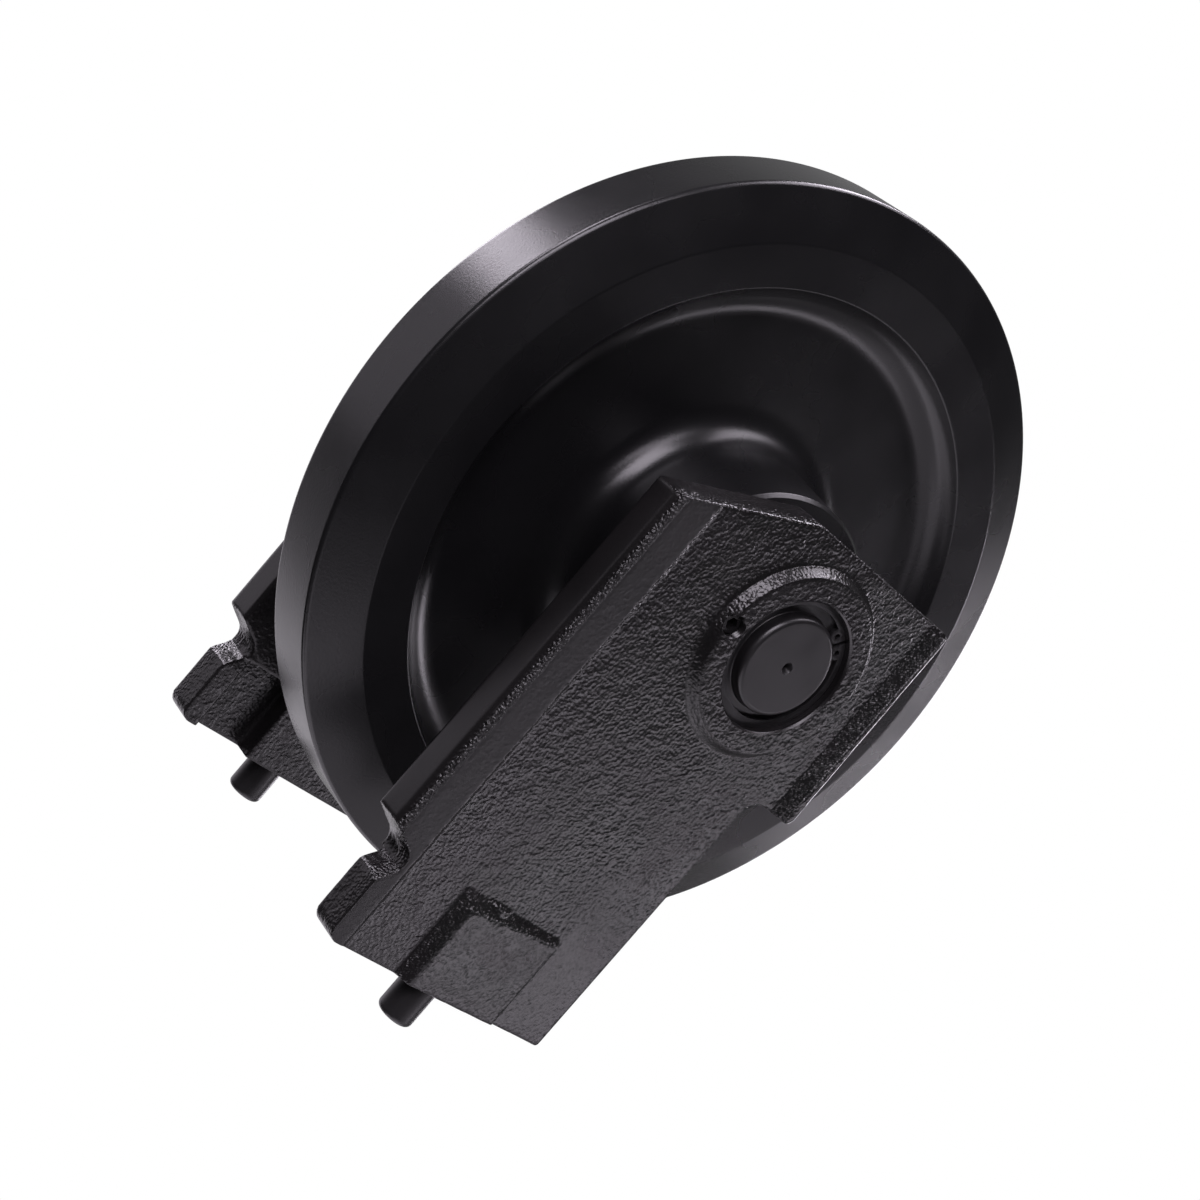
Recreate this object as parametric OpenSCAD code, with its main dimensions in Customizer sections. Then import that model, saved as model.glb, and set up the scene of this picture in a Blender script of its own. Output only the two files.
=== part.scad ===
// Front idler of a small tracked excavator.
// A dished wheel turns on two bronze bushings round a fixed axle shaft.
// Two cast brackets carry the shaft and slide in the track frame; face seals keep the oil in the hub.
// Millimetres. The origin is the wheel's centre, the axle lies along Y, the nose points to +X and Z is up.
// The left side is at +Y. Right-hand pieces are the left-hand ones mirrored.

/* [Wheel] */
// Outer diameter of the tread
wheel_od = 350; // [320:1:400]
// Width of the flat tread
tread_w = 30.4; // [20:0.2:40]
// Rounding of the tread's corners
tread_round = 1.6; // [0.5:0.1:3]
// Diameter where the sloped shoulder meets the flat side of the rim
shoulder_d = 305; // [295:1:312]
// Width of the rim over its flat sides
rim_w = 47; // [42:0.5:60]
// Draft of the rim's flat side, from its outer to its inner edge
rim_side_draft = 0.6; // [0.1:0.1:2]
// Diameter of the crisp inner edge of the rim
rim_inner_d = 266.4; // [250:0.2:280]
// Slope of the rim's inner wall, from edge to root
rim_wall_slope = 5.4; // [2:0.2:9]
// Radius of the fillet between rim and web
rim_fillet = 13; // [6:0.5:16]
// Thickness of the web
web_t = 21.2; // [14:0.2:26]
// Diameter of the hub where it would meet the web
hub_root_d = 127; // [123:0.5:140]
// Radius of the fillet between web and hub
hub_fillet = 15.5; // [8:0.5:20]

/* [Hub] */
// Diameter of the hub at its ends
hub_end_d = 119; // [114:0.5:122]
// Length of the hub
hub_w = 116; // [106:1:130]
// Chamfer on the hub's outer edges
hub_chamfer = 1.6; // [0.5:0.1:3]
// Radial depth of the oil chamber between the bushings
chamber_relief = 2; // [1:0.1:4]
// Length of a bushing inside the hub
bushing_l = 32; // [24:1:40]
// Wall of a bushing
bushing_wall = 5; // [3:0.1:6]
// Thickness of a bushing's thrust flange
flange_t = 4; // [2.5:0.1:5]
// How far the thrust flange stands beyond the bracket's nose
flange_lip = 1.5; // [0.5:0.1:2]

/* [Axle shaft] */
// Diameter of the shaft
shaft_d = 60; // [54:0.5:62]
// Diameter of the turned-down shaft ends
shaft_tip_d = 45; // [36:0.5:45]
// Rounding of the shaft ends
shaft_tip_round = 2.2; // [0.5:0.1:3]
// Mouth diameter of the lathe centres
centre_d = 5.2; // [4:0.1:8]
// Diameter of the pilot hole in a lathe centre
centre_pilot_d = 2.4; // [1.5:0.1:3]
// Depth of the pilot hole
centre_depth = 9; // [6:0.5:14]
// Depth of the waist between the bushings
waist_relief = 1; // [0.5:0.1:3]
// Section of the rubber ring that seals the shaft in a bracket
oring_section = 2.1; // [1.6:0.1:3]

/* [Face seals] */
// Gap between the hub's end and the bracket's seal boss
seal_gap = 2; // [1:0.1:4]
// Depth of each seal pocket
seal_depth = 11; // [10:0.5:13]
// Wall of a metal seal ring at its tail
seal_ring_wall = 1.8; // [1.2:0.1:3]
// Thickness of a seal ring's flange
seal_flange_t = 3; // [2:0.1:4]
// Section of a rubber toric ring
toric_section = 5; // [4:0.1:6]
// Angle of the ramps that squeeze the toric rings
seal_ramp = 10; // [6:1:14]
// Wall of the bracket's seal boss at its mouth
seal_boss_wall = 3.4; // [2.5:0.1:5]

/* [Bracket outline] */
// Height of the sliding top face above the axle
top_z = 99; // [92:0.5:110]
// Front end of the top face
nose_top_x = 26; // [15:0.5:35]
// Front edge of the bracket
front_x = 52; // [47:0.5:60]
// Height where the sloped nose meets the front edge
nose_low_z = 32; // [15:0.5:50]
// Height of the lower lip's underside at its rear end
lip_z = -67.5; // [-76:0.5:-66]
// Height of the lower lip's underside at its front end
lip_front_z = -65; // [-72:0.5:-64]
// Rear end of the lower lip
lip_rear_x = -52; // [-70:0.5:-40]
// Height of the main underside
bottom_z = -42.3; // [-50:0.1:-38]
// Radius of the inner corner behind the lip
lip_fillet = 8; // [4:0.5:10]
// Rear face, which pushes on the tensioner
rear_x = -190; // [-205:0.5:-186]
// Height of the tail's top
tail_z = 89.9; // [87:0.1:94]
// Rear end of the top face, where the tail notch starts
notch_front_x = -137.5; // [-142:0.5:-130]
// Bottom of the tail notch, along the bracket
notch_x = -148; // [-151:0.5:-146]
// Bottom of the tail notch, above the axle
notch_z = 79.5; // [76:0.5:84]
// Front end of the tail's top
tail_front_x = -160; // [-166:0.5:-156]
// Radius of the notch's bottom
notch_round = 7; // [3:0.5:9]
// Rounding of the tail's upper rear corner
tail_round = 6; // [2:0.5:9]
// Rounding of the outline's outer corners
outline_round = 3.5; // [1:0.1:5]

/* [Bracket section] */
// Thickness of the bracket plate
plate_t = 18.3; // [16:0.1:24]
// Rounding of the outer top edge
top_edge_round = 5; // [2:0.1:7]
// Rounding of the inner top edge
inner_edge_round = 2; // [0.5:0.1:4]
// Height of the drafted strip along the top
strip_h = 18.5; // [12:0.5:24]
// How far the strip stands proud of the plate
strip_step = 0.6; // [0.2:0.1:1.5]
// Draft of the strip over its height
strip_draft = 0.3; // [0.2:0.1:3]
// Height where the outer face starts to draft inwards
draft_start_z = -10; // [-30:1:0]
// Draft of the outer face below that height
face_draft = 1.3; // [0.3:0.1:3]
// Height of the sloped wall that rises from the plate to the lip
lip_band_h = 7.2; // [5:0.1:12]
// How far the lip stands proud of the plate
lip_rise = 3.5; // [1.5:0.1:5]
// Height of the plain land on the lip at its rear end
lip_land_h = 4.3; // [3:0.1:9]
// Height of the axle boss above the plate
boss_h = 4.9; // [4.4:0.1:7]
// Land of the axle boss round the bore
boss_land = 10.5; // [8:0.1:14]
// Slope of the axle boss's wall
boss_slope = 3.2; // [1.5:0.1:6]
// Chamfer at the mouth of the axle bore
bore_chamfer = 0.6; // [0.2:0.1:1.2]
// Wall of the nose that the bushing's flange thrusts on
nose_wall = 7; // [5:0.1:9]

/* [Pin block] */
// Front end of the raised block that holds the locating pin
block_front_x = -145; // [-150:0.5:-140]
// Top of the raised block
block_top_z = 50; // [44:0.5:56]
// Lower edge of the raised block
block_low_z = -9.9; // [-16:0.1:-4]
// Height of the block at its top
block_h = 5; // [4:0.1:7]
// Height of the block at its lower edge
block_low_h = 2.2; // [1:0.1:3]
// Width of the block's sloped walls
block_slope = 6; // [3:0.1:9]
// Diameter of a locating pin's free end
pin_d = 16.5; // [12:0.1:16.5]
// Diameter of the pin's shank in the bracket
pin_shank_d = 17; // [16.6:0.1:18]
// Free length of a locating pin
pin_free_l = 18.2; // [12:0.1:26]
// Length of the pin's shank
pin_shank_l = 38; // [26:1:40]
// Height of the pins above the axle
pin_z = 29; // [24:0.5:34]
// Distance of a pin from the bracket's inner face
pin_inset = 12; // [10.5:0.1:13]
// Rounding of the pin's end
pin_round = 2.6; // [1:0.1:4]
// Relief of the tail's inner side
tail_relief = 2.8; // [1:0.1:4]
// Depth of the pocket in the tail's inner side
tail_pocket = 10; // [6:0.5:12]
// Wall left above and below that pocket
tail_wall = 8; // [6:0.5:10]

/* [Circlip and oil plug] */
// Distance of the circlip from the boss face
circlip_depth = 4; // [3:0.1:5]
// Thickness of the circlip
circlip_t = 2; // [1.5:0.1:2.5]
// Depth of the circlip's groove
groove_depth = 1.5; // [1:0.1:2]
// Mean width of the circlip's band
circlip_band = 4.8; // [4:0.1:5.5]
// How much wider the band is opposite its gap
circlip_offset = 0.9; // [0.3:0.1:1.2]
// Radius of a circlip lug
lug_r = 3.3; // [2.8:0.1:3.6]
// Diameter of the plier hole in a lug
lug_hole_d = 2.5; // [1.8:0.1:3]
// Gap between the two lugs
lug_gap = 1.6; // [1:0.1:4]
// Direction of the circlip's gap below the forward direction
lug_angle = -41; // [-90:1:0]
// Diameter of the oil plug's hole
plug_hole_d = 10; // [9:0.1:13]
// Land between the circlip groove and the plug's hole
plug_land = 0.7; // [0.5:0.1:2]
// Length of the oil plug
plug_l = 9; // [6:0.5:9]
// Depth of the plug below the boss face
plug_recess = 3; // [2.5:0.1:6]
// Chamfer on the plug's outer edge
plug_chamfer = 0.9; // [0.3:0.1:1.5]
// Key size of the plug's hexagon socket
plug_key = 5; // [4:0.5:6]
// Depth of the hexagon socket
plug_key_depth = 5; // [3:0.5:5.5]
// Diameter of the oil passage behind the plug
passage_d = 4; // [3:0.1:5]

/* [Clearances] */
// Radial running clearance of the bushings on the shaft
run_clear = 0.05; // [0.02:0.01:0.1]
// Radial clearance of pieces fitted into the brackets
fit_clear = 0.03; // [0.01:0.01:0.05]
// Axial running clearance of the thrust flanges
thrust_clear = 0.3; // [0.1:0.05:0.5]
// Oil film between the two rings of a face seal
seal_film = 0.06; // [0.02:0.01:0.1]
// Room round the rubber rings
rubber_clear = 0.08; // [0.02:0.01:0.15]
// Room between a seal ring and what it surrounds
ring_clear = 1.2; // [0.8:0.1:2]

/* [Hidden] */
$fn = 96;
// Straight steps that make up one rounded corner
arc_steps = 6;
// Extra length of a cutting tool past the face that it opens
past = 1;

// Radii on the axle
shaft_r = shaft_d / 2;
bore_r = shaft_r + fit_clear;
bushing_in_r = shaft_r + run_clear;
bushing_r = bushing_in_r + bushing_wall;
nose_r = bore_r + nose_wall;
flange_r = max(nose_r, bushing_r) + flange_lip;
groove_r = bore_r + groove_depth;
circlip_r = groove_r - fit_clear;
circlip_in_r = circlip_r - circlip_band;
boss_top_r = bore_r + boss_land;
boss_base_r = boss_top_r + boss_slope;
plug_hole_r = plug_hole_d / 2;
plug_r = plug_hole_r - fit_clear;
plug_pitch_r = groove_r + plug_land + plug_hole_r;

// Places along the axle, on the left side
hub_end_y = hub_w / 2;
pocket_floor_y = hub_end_y - seal_depth;
chamber_y = pocket_floor_y - bushing_l;
flange_y = pocket_floor_y + flange_t;
nose_end_y = flange_y + thrust_clear;
seal_mouth_y = hub_end_y + seal_gap;
seal_face_y = hub_end_y + seal_gap / 2;
inner_y = seal_mouth_y + seal_depth;
outer_y = inner_y + plate_t;
boss_y = outer_y + boss_h;
groove_out_y = boss_y - circlip_depth;
circlip_y = groove_out_y - fit_clear - circlip_t;
shoulder_y = circlip_y - fit_clear;
oring_y = inner_y + plate_t / 3;
plug_top_y = boss_y - plug_recess;
plug_end_y = plug_top_y - plug_l;
pin_y = inner_y + pin_inset;

// Face seal section
seal_half = seal_depth + seal_gap / 2;
ramp_rate = tan(seal_ramp);
toric_at = seal_flange_t + (seal_half - seal_flange_t) / 2;
toric_room = (toric_section + 2 * rubber_clear) / cos(seal_ramp);
ring_in_r = flange_r + ring_clear;
ring_end = seal_half - ring_clear;
ring_end_r = ring_in_r + seal_ring_wall;
ring_root_r = ring_end_r + (ring_end - seal_flange_t) * ramp_rate;
toric_r = ring_end_r + (ring_end - toric_at) * ramp_rate + toric_room / 2;
seal_floor_r = ring_end_r + (ring_end - seal_half) * ramp_rate + toric_room;
seal_mouth_r = seal_floor_r + seal_depth * ramp_rate;
ring_flange_r = seal_mouth_r - ring_clear;
seal_boss_r = seal_mouth_r + seal_boss_wall;

// Pocket in the tail, between the top rail and the pin block
tail_pocket_top_z = min(notch_z, tail_z - tail_wall);
tail_pocket_front_x = notch_x - tail_wall / 2;

// Colours of the finished object
cast_paint = [0.13, 0.13, 0.135];
wheel_paint = [0.1, 0.1, 0.105];
bare_steel = [0.62, 0.63, 0.65];
bronze = [0.69, 0.52, 0.27];
rubber = [0.05, 0.05, 0.05];

// Outlines with rounded corners, each corner given as [x, y, radius]

function unit(v) = v / norm(v);
function spot(corner) = [corner[0], corner[1]];
function half_turn(angle) = angle > 180 ? angle - 360 : angle < -180 ? angle + 360 : angle;

function corner_arc(before, at, after, radius) =
    let (u = unit(before - at))
    let (v = unit(after - at))
    let (half = acos(u * v) / 2)
    let (centre = at + unit(u + v) * radius / sin(half))
    let (first = at + u * radius / tan(half) - centre)
    let (last = at + v * radius / tan(half) - centre)
    let (start = atan2(first[1], first[0]))
    let (sweep = half_turn(atan2(last[1], last[0]) - start))
    [for (i = [0:arc_steps])
        let (a = start + sweep * i / arc_steps)
        centre + radius * [cos(a), sin(a)]];

function rounded(corners) =
    let (n = len(corners))
    [for (i = [0:n - 1])
        each corners[i][2] == 0 ? [spot(corners[i])] :
            corner_arc(spot(corners[(i + n - 1) % n]), spot(corners[i]),
                spot(corners[(i + 1) % n]), corners[i][2])];

// Turns a profile of [radius, place along the axle] round the axle
module around_axle() rotate([-90, 0, 0]) rotate_extrude() children();

// Cylinder along the axle between two places
module axle_cylinder(r, from_y, to_y)
    translate([0, from_y, 0]) rotate([-90, 0, 0]) cylinder(r = r, h = to_y - from_y);

// Extrudes an outline of [x, z] along the axle between two places
module along_axle(from_y, to_y)
    translate([0, to_y, 0]) rotate([90, 0, 0]) linear_extrude(to_y - from_y) children();

// Puts a piece modelled on the left on the right
module on_right() mirror([0, 1, 0]) children();

// Wheel: rim, web and hub in one piece

function half_section() = [
    [bushing_r + chamber_relief, chamber_y, 0],
    [bushing_r, chamber_y, 0],
    [bushing_r, pocket_floor_y, 0],
    [seal_floor_r, pocket_floor_y, 0],
    [seal_mouth_r, hub_end_y, 0],
    [hub_end_d / 2 - hub_chamfer, hub_end_y, 0],
    [hub_end_d / 2, hub_end_y - hub_chamfer, 0],
    [hub_root_d / 2, web_t / 2, hub_fillet],
    [rim_inner_d / 2 - rim_wall_slope, web_t / 2, rim_fillet],
    [rim_inner_d / 2, rim_w / 2 - rim_side_draft, 0],
    [shoulder_d / 2, rim_w / 2, 0],
    [wheel_od / 2, tread_w / 2, tread_round]];

function flipped(corners) =
    [for (i = [len(corners) - 1:-1:0]) [corners[i][0], -corners[i][1], corners[i][2]]];

module idler_wheel() {
    color(wheel_paint)
    around_axle()
    polygon(rounded(concat(half_section(), flipped(half_section()))));
}

// Flanged bushing, pressed into the hub
module bushing() {
    color(bronze)
    around_axle()
    polygon([
        [bushing_in_r, chamber_y],
        [bushing_r - fit_clear, chamber_y],
        [bushing_r - fit_clear, pocket_floor_y],
        [flange_r, pocket_floor_y],
        [flange_r, flange_y],
        [bushing_in_r, flange_y]]);
}

module bushing_left() bushing();
module bushing_right() on_right() bushing();

// Face seals: a ring with a lapped face and a tail, squeezed by a rubber ring
// Drawn from the seal's mid plane outwards; side is 1 towards the bracket and -1 towards the hub

function seal_y(side, distance) = seal_face_y + side * distance;

module seal_ring(side) {
    color(bare_steel)
    around_axle()
    polygon([
        [ring_in_r, seal_y(side, seal_film / 2)],
        [ring_flange_r, seal_y(side, seal_film / 2)],
        [ring_flange_r, seal_y(side, seal_flange_t)],
        [ring_root_r, seal_y(side, seal_flange_t)],
        [ring_end_r, seal_y(side, ring_end)],
        [ring_in_r, seal_y(side, ring_end)]]);
}

module toric(side) {
    color(rubber)
    around_axle()
    translate([toric_r, seal_y(side, toric_at)]) circle(d = toric_section);
}

module fixed_seal_ring_left() seal_ring(1);
module fixed_seal_ring_right() on_right() seal_ring(1);
module fixed_toric_left() toric(1);
module fixed_toric_right() on_right() toric(1);
module rotating_seal_ring_left() seal_ring(-1);
module rotating_seal_ring_right() on_right() seal_ring(-1);
module rotating_toric_left() toric(-1);
module rotating_toric_right() on_right() toric(-1);

// Axle shaft, held between the two circlips

oring_floor_r = bore_r - oring_section - 2 * rubber_clear;
oring_groove_w = oring_section * 1.5;
centre_cone = (centre_d - centre_pilot_d) / 2;

function shaft_half() = [
    [shaft_r - waist_relief, chamber_y, 0],
    [shaft_r, chamber_y + waist_relief, 0],
    [shaft_r, oring_y - oring_groove_w / 2, 0],
    [oring_floor_r, oring_y - oring_groove_w / 2, 0],
    [oring_floor_r, oring_y + oring_groove_w / 2, 0],
    [shaft_r, oring_y + oring_groove_w / 2, 0],
    [shaft_r, shoulder_y - waist_relief, 0],
    [shaft_r - waist_relief, shoulder_y, 0],
    [shaft_tip_d / 2, shoulder_y, 0],
    [shaft_tip_d / 2, boss_y, shaft_tip_round],
    [centre_d / 2, boss_y, 0],
    [centre_pilot_d / 2, boss_y - centre_cone * 2, 0],
    [centre_pilot_d / 2, boss_y - centre_depth, 0],
    [0, boss_y - centre_depth, 0]];

module axle_shaft() {
    color(cast_paint)
    around_axle()
    polygon(rounded(concat(shaft_half(), flipped(shaft_half()))));
}

module shaft_oring() {
    color(rubber)
    around_axle()
    translate([oring_floor_r + rubber_clear + oring_section / 2, oring_y]) circle(d = oring_section);
}

module shaft_oring_left() shaft_oring();
module shaft_oring_right() on_right() shaft_oring();

// Internal circlip with its two plier lugs, next to the shaft's shoulder

lug_pitch_r = circlip_r - circlip_band / 2 - circlip_offset - lug_r / 2;
lug_turn = asin((lug_r + lug_gap / 2) / lug_pitch_r);

module circlip_outline() {
    difference() {
        union() {
            difference() {
                circle(r = circlip_r);
                translate([circlip_offset, 0]) circle(r = circlip_in_r);
            }
            for (turn = [-lug_turn, lug_turn])
                rotate(turn) translate([lug_pitch_r, 0]) circle(r = lug_r, $fn = 32);
        }
        for (turn = [-lug_turn, lug_turn])
            rotate(turn) translate([lug_pitch_r, 0]) circle(d = lug_hole_d, $fn = 24);
        translate([0, -lug_gap / 2]) square([circlip_r + past, lug_gap]);
    }
}

module circlip() {
    color(cast_paint)
    along_axle(circlip_y, circlip_y + circlip_t)
    rotate(lug_angle) circlip_outline();
}

module circlip_left() circlip();
module circlip_right() on_right() circlip();

// Oil plug with a hexagon socket, screwed in above the shaft

module oil_plug() {
    color(cast_paint)
    translate([0, 0, plug_pitch_r])
    difference() {
        around_axle()
        polygon([
            [0, plug_end_y],
            [plug_r - plug_chamfer, plug_end_y],
            [plug_r, plug_end_y + plug_chamfer],
            [plug_r, plug_top_y - plug_chamfer],
            [plug_r - plug_chamfer, plug_top_y],
            [0, plug_top_y]]);
        translate([0, plug_top_y - plug_key_depth, 0])
        rotate([-90, 0, 0]) cylinder(d = plug_key / cos(30), h = plug_key_depth + past, $fn = 6);
    }
}

module oil_plug_left() oil_plug();
module oil_plug_right() on_right() oil_plug();

// Cast bracket: its side outline and its cross section meet in one plate

module side_outline() {
    polygon(rounded([
        [nose_top_x, top_z, outline_round],
        [front_x, nose_low_z, outline_round],
        [front_x, lip_front_z, outline_round],
        [lip_rear_x, lip_z, outline_round],
        [lip_rear_x, bottom_z, lip_fillet],
        [rear_x, bottom_z, outline_round / 2],
        [rear_x, tail_z, tail_round],
        [tail_front_x, tail_z, outline_round],
        [notch_x, notch_z, notch_round],
        [notch_front_x, top_z, outline_round / 2]]));
}

module cross_section() {
    strip_low_z = top_z - strip_h;
    land_z = lip_z + lip_land_h;
    band_z = land_z + lip_band_h;
    polygon(rounded([
        [inner_y, top_z, inner_edge_round],
        [outer_y + strip_step - strip_draft, top_z, top_edge_round],
        [outer_y + strip_step, strip_low_z, 0],
        [outer_y, strip_low_z - strip_step, 0],
        [outer_y, draft_start_z, 0],
        [outer_y - face_draft, band_z, 0],
        [outer_y - face_draft + lip_rise, land_z, 0],
        [outer_y - face_draft + lip_rise, lip_z, 0],
        [inner_y, lip_z, 0]]));
}

module plate() {
    intersection() {
        along_axle(inner_y, boss_y) side_outline();
        translate([rear_x, 0, 0])
        rotate([90, 0, 90]) linear_extrude(front_x - rear_x) cross_section();
    }
}

// Raised block over the locating pin, with sloped upper and front walls
module pin_block() {
    root_y = outer_y - face_draft - past;
    intersection() {
        translate([rear_x, 0, 0])
        rotate([90, 0, 90])
        linear_extrude(block_front_x - rear_x)
        polygon([
            [root_y, block_low_z],
            [outer_y + block_low_h, block_low_z],
            [outer_y + block_h, block_top_z - block_slope],
            [outer_y, block_top_z],
            [root_y, block_top_z]]);
        translate([0, 0, block_low_z])
        linear_extrude(block_top_z - block_low_z)
        polygon([
            [rear_x, root_y],
            [rear_x, outer_y + block_h],
            [block_front_x - block_slope, outer_y + block_h],
            [block_front_x, outer_y],
            [block_front_x, root_y]]);
    }
}

// Boss round the axle bore outside, seal boss and thrust nose inside
module axle_bosses() {
    around_axle()
    polygon([
        [0, outer_y - boss_h],
        [boss_base_r, outer_y - boss_h],
        [boss_base_r, outer_y],
        [boss_top_r, boss_y],
        [0, boss_y]]);
    axle_cylinder(seal_boss_r, seal_mouth_y, inner_y + past);
}

// Pocket for the fixed half of the face seal, left open round the nose
module seal_pocket() {
    difference() {
        around_axle()
        polygon([
            [0, seal_mouth_y - past],
            [seal_mouth_r + past * ramp_rate, seal_mouth_y - past],
            [seal_floor_r, inner_y],
            [0, inner_y]]);
        axle_cylinder(nose_r, seal_mouth_y - 2 * past, inner_y + past);
    }
}

module axle_bore() {
    axle_cylinder(bore_r, nose_end_y - past, boss_y + past);
    axle_cylinder(groove_r, circlip_y - fit_clear, groove_out_y);
    around_axle()
    polygon([
        [0, boss_y - bore_chamfer],
        [bore_r, boss_y - bore_chamfer],
        [bore_r + bore_chamfer + past, boss_y + past],
        [0, boss_y + past]]);
}

module oil_passage() {
    translate([0, 0, plug_pitch_r]) {
        axle_cylinder(plug_hole_r, plug_end_y - fit_clear, boss_y + past);
        axle_cylinder(passage_d / 2, inner_y - past, boss_y);
    }
}

module pin_hole() {
    translate([rear_x - past, pin_y, pin_z])
    rotate([0, 90, 0]) cylinder(d = pin_shank_d + 2 * fit_clear, h = pin_shank_l + 2 * past);
}

// Hollow of the tail's inner side, between its top rail and the pin block
module tail_hollow() {
    translate([rear_x - past, inner_y - past, block_top_z])
    cube([tail_pocket_front_x - rear_x + past, tail_relief + past, top_z]);
    translate([rear_x - past, inner_y - past, block_top_z])
    cube([tail_pocket_front_x - rear_x + past, tail_pocket + past, tail_pocket_top_z - block_top_z]);
}

module bracket() {
    color(cast_paint)
    difference() {
        union() {
            plate();
            pin_block();
            axle_bosses();
            axle_cylinder(nose_r, nose_end_y, inner_y + past);
        }
        seal_pocket();
        axle_bore();
        oil_passage();
        pin_hole();
        tail_hollow();
    }
}

module bracket_left() bracket();
module bracket_right() on_right() bracket();

// Shouldered locating pin at the rear of a bracket
module locating_pin() {
    color(cast_paint)
    translate([rear_x, pin_y, pin_z])
    rotate([0, 90, 0])
    rotate_extrude()
    polygon(rounded([
        [0, -pin_free_l, 0],
        [pin_d / 2, -pin_free_l, pin_round],
        [pin_d / 2, 0, 0],
        [pin_shank_d / 2, 0, 0],
        [pin_shank_d / 2, pin_shank_l, 0],
        [0, pin_shank_l, 0]]));
}

module locating_pin_left() locating_pin();
module locating_pin_right() on_right() locating_pin();

idler_wheel();
bushing_right();
bushing_left();
rotating_seal_ring_right();
rotating_seal_ring_left();
rotating_toric_right();
rotating_toric_left();
bracket_right();
bracket_left();
axle_shaft();
shaft_oring_right();
shaft_oring_left();
circlip_right();
circlip_left();
oil_plug_right();
oil_plug_left();
fixed_seal_ring_right();
fixed_seal_ring_left();
fixed_toric_right();
fixed_toric_left();
locating_pin_right();
locating_pin_left();
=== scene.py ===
"""Looks of an excavator's front idler: black enamelled wheel, sand-cast brackets, axle and pins, in a pale studio."""
import math

import bmesh
import bpy
import numpy as np
from mathutils import Matrix, Vector


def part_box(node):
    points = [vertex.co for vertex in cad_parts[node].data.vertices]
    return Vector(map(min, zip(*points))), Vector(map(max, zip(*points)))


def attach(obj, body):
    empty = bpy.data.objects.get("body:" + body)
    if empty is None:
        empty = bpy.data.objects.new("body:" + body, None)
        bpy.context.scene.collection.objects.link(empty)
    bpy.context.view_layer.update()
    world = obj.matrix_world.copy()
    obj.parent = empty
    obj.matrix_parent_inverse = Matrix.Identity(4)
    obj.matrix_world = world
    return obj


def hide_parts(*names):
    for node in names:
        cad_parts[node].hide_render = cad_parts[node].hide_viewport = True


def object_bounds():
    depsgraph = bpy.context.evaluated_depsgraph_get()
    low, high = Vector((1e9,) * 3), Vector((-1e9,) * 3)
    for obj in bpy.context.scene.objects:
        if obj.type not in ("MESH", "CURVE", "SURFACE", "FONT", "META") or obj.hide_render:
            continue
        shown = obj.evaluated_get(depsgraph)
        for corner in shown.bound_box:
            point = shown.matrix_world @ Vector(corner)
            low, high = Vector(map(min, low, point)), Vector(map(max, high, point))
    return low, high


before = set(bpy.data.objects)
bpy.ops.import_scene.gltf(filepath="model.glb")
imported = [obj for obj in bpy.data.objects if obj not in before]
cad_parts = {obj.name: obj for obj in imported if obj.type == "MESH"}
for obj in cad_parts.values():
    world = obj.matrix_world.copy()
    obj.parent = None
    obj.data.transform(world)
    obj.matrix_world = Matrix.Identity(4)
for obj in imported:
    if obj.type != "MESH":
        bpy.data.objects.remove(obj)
cad_box = [list(corner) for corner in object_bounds()]

MM = 0.001
WELD = 1e-6  # points closer than this, in metres, are one point
SIDES = {"left": 1, "right": -1}

# Sizes that the pieces share with the solids, in millimetres
SHAFT_R = 30.0
BORE_R = 30.03
NOSE_R = 37.03
NOSE_END_Y = 51.3
SEAL_MOUTH_Y = 60.0
SEAL_MOUTH_R = 48.498
SEAL_FLOOR_R = 46.558
SEAL_BOSS_R = 51.9
INNER_Y = 71.0
OUTER_Y = 89.3
BOSS_Y = 94.2
BOSS_TOP_R = 40.53
BOSS_BASE_R = 43.73
GROOVE_R = 31.53
GROOVE_IN_Y = 88.14
GROOVE_OUT_Y = 90.2
PLUG_Z = 37.23
PLUG_HOLE_R = 5.0
PLUG_HOLE_END_Y = 82.17
PLUG_TOP_Y = 91.2
PLUG_R = 4.97
PLUG_LENGTH = 9.0
PLUG_KEY = 5.0
PASSAGE_R = 2.0
THREAD_DEPTH = 0.4
THREAD_PITCH = 1.1
PIN_Y = 83.0
PIN_Z = 29.0
PIN_R = 8.25
PIN_SHANK_R = 8.5
PIN_OUT = 18.2
PIN_IN = 38.0
PIN_HOLE_R = 8.53
PIN_HOLE_DEPTH = 39.0
REAR_X = -190.0
TOP_Z = 99.0


# Colours and nodes

def linear(code):
    """sRGB hex to the linear colour that the shaders take."""
    parts = [int(code[i:i + 2], 16) / 255 for i in (1, 3, 5)]
    return [p / 12.92 if p <= 0.04045 else ((p + 0.055) / 1.055) ** 2.4 for p in parts] + [1.0]


def per(size_mm):
    """Texture scale for a feature of that size, on coordinates in metres."""
    return 1000.0 / size_mm


def add(tree, kind, values=None, links=None, **settings):
    """Adds one node: settings are its properties, values its sockets' values, links its incoming sockets."""
    node = tree.nodes.new(kind)
    for name, value in settings.items():
        setattr(node, name, value)
    for socket, value in (values or {}).items():
        node.inputs[socket].default_value = value
    for socket, source in (links or {}).items():
        tree.links.new(source, node.inputs[socket])
    return node


def new_material(name, **sockets):
    """A material with one principled shader; sockets are its uniform values."""
    material = bpy.data.materials.new(name)
    material.use_nodes = True
    tree = material.node_tree
    tree.nodes.clear()
    shader = add(tree, "ShaderNodeBsdfPrincipled", {k.replace("_", " "): v for k, v in sockets.items()})
    add(tree, "ShaderNodeOutputMaterial", links={"Surface": shader.outputs["BSDF"]})
    where = add(tree, "ShaderNodeTexCoord").outputs["Object"]
    return material, tree, shader, where


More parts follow.
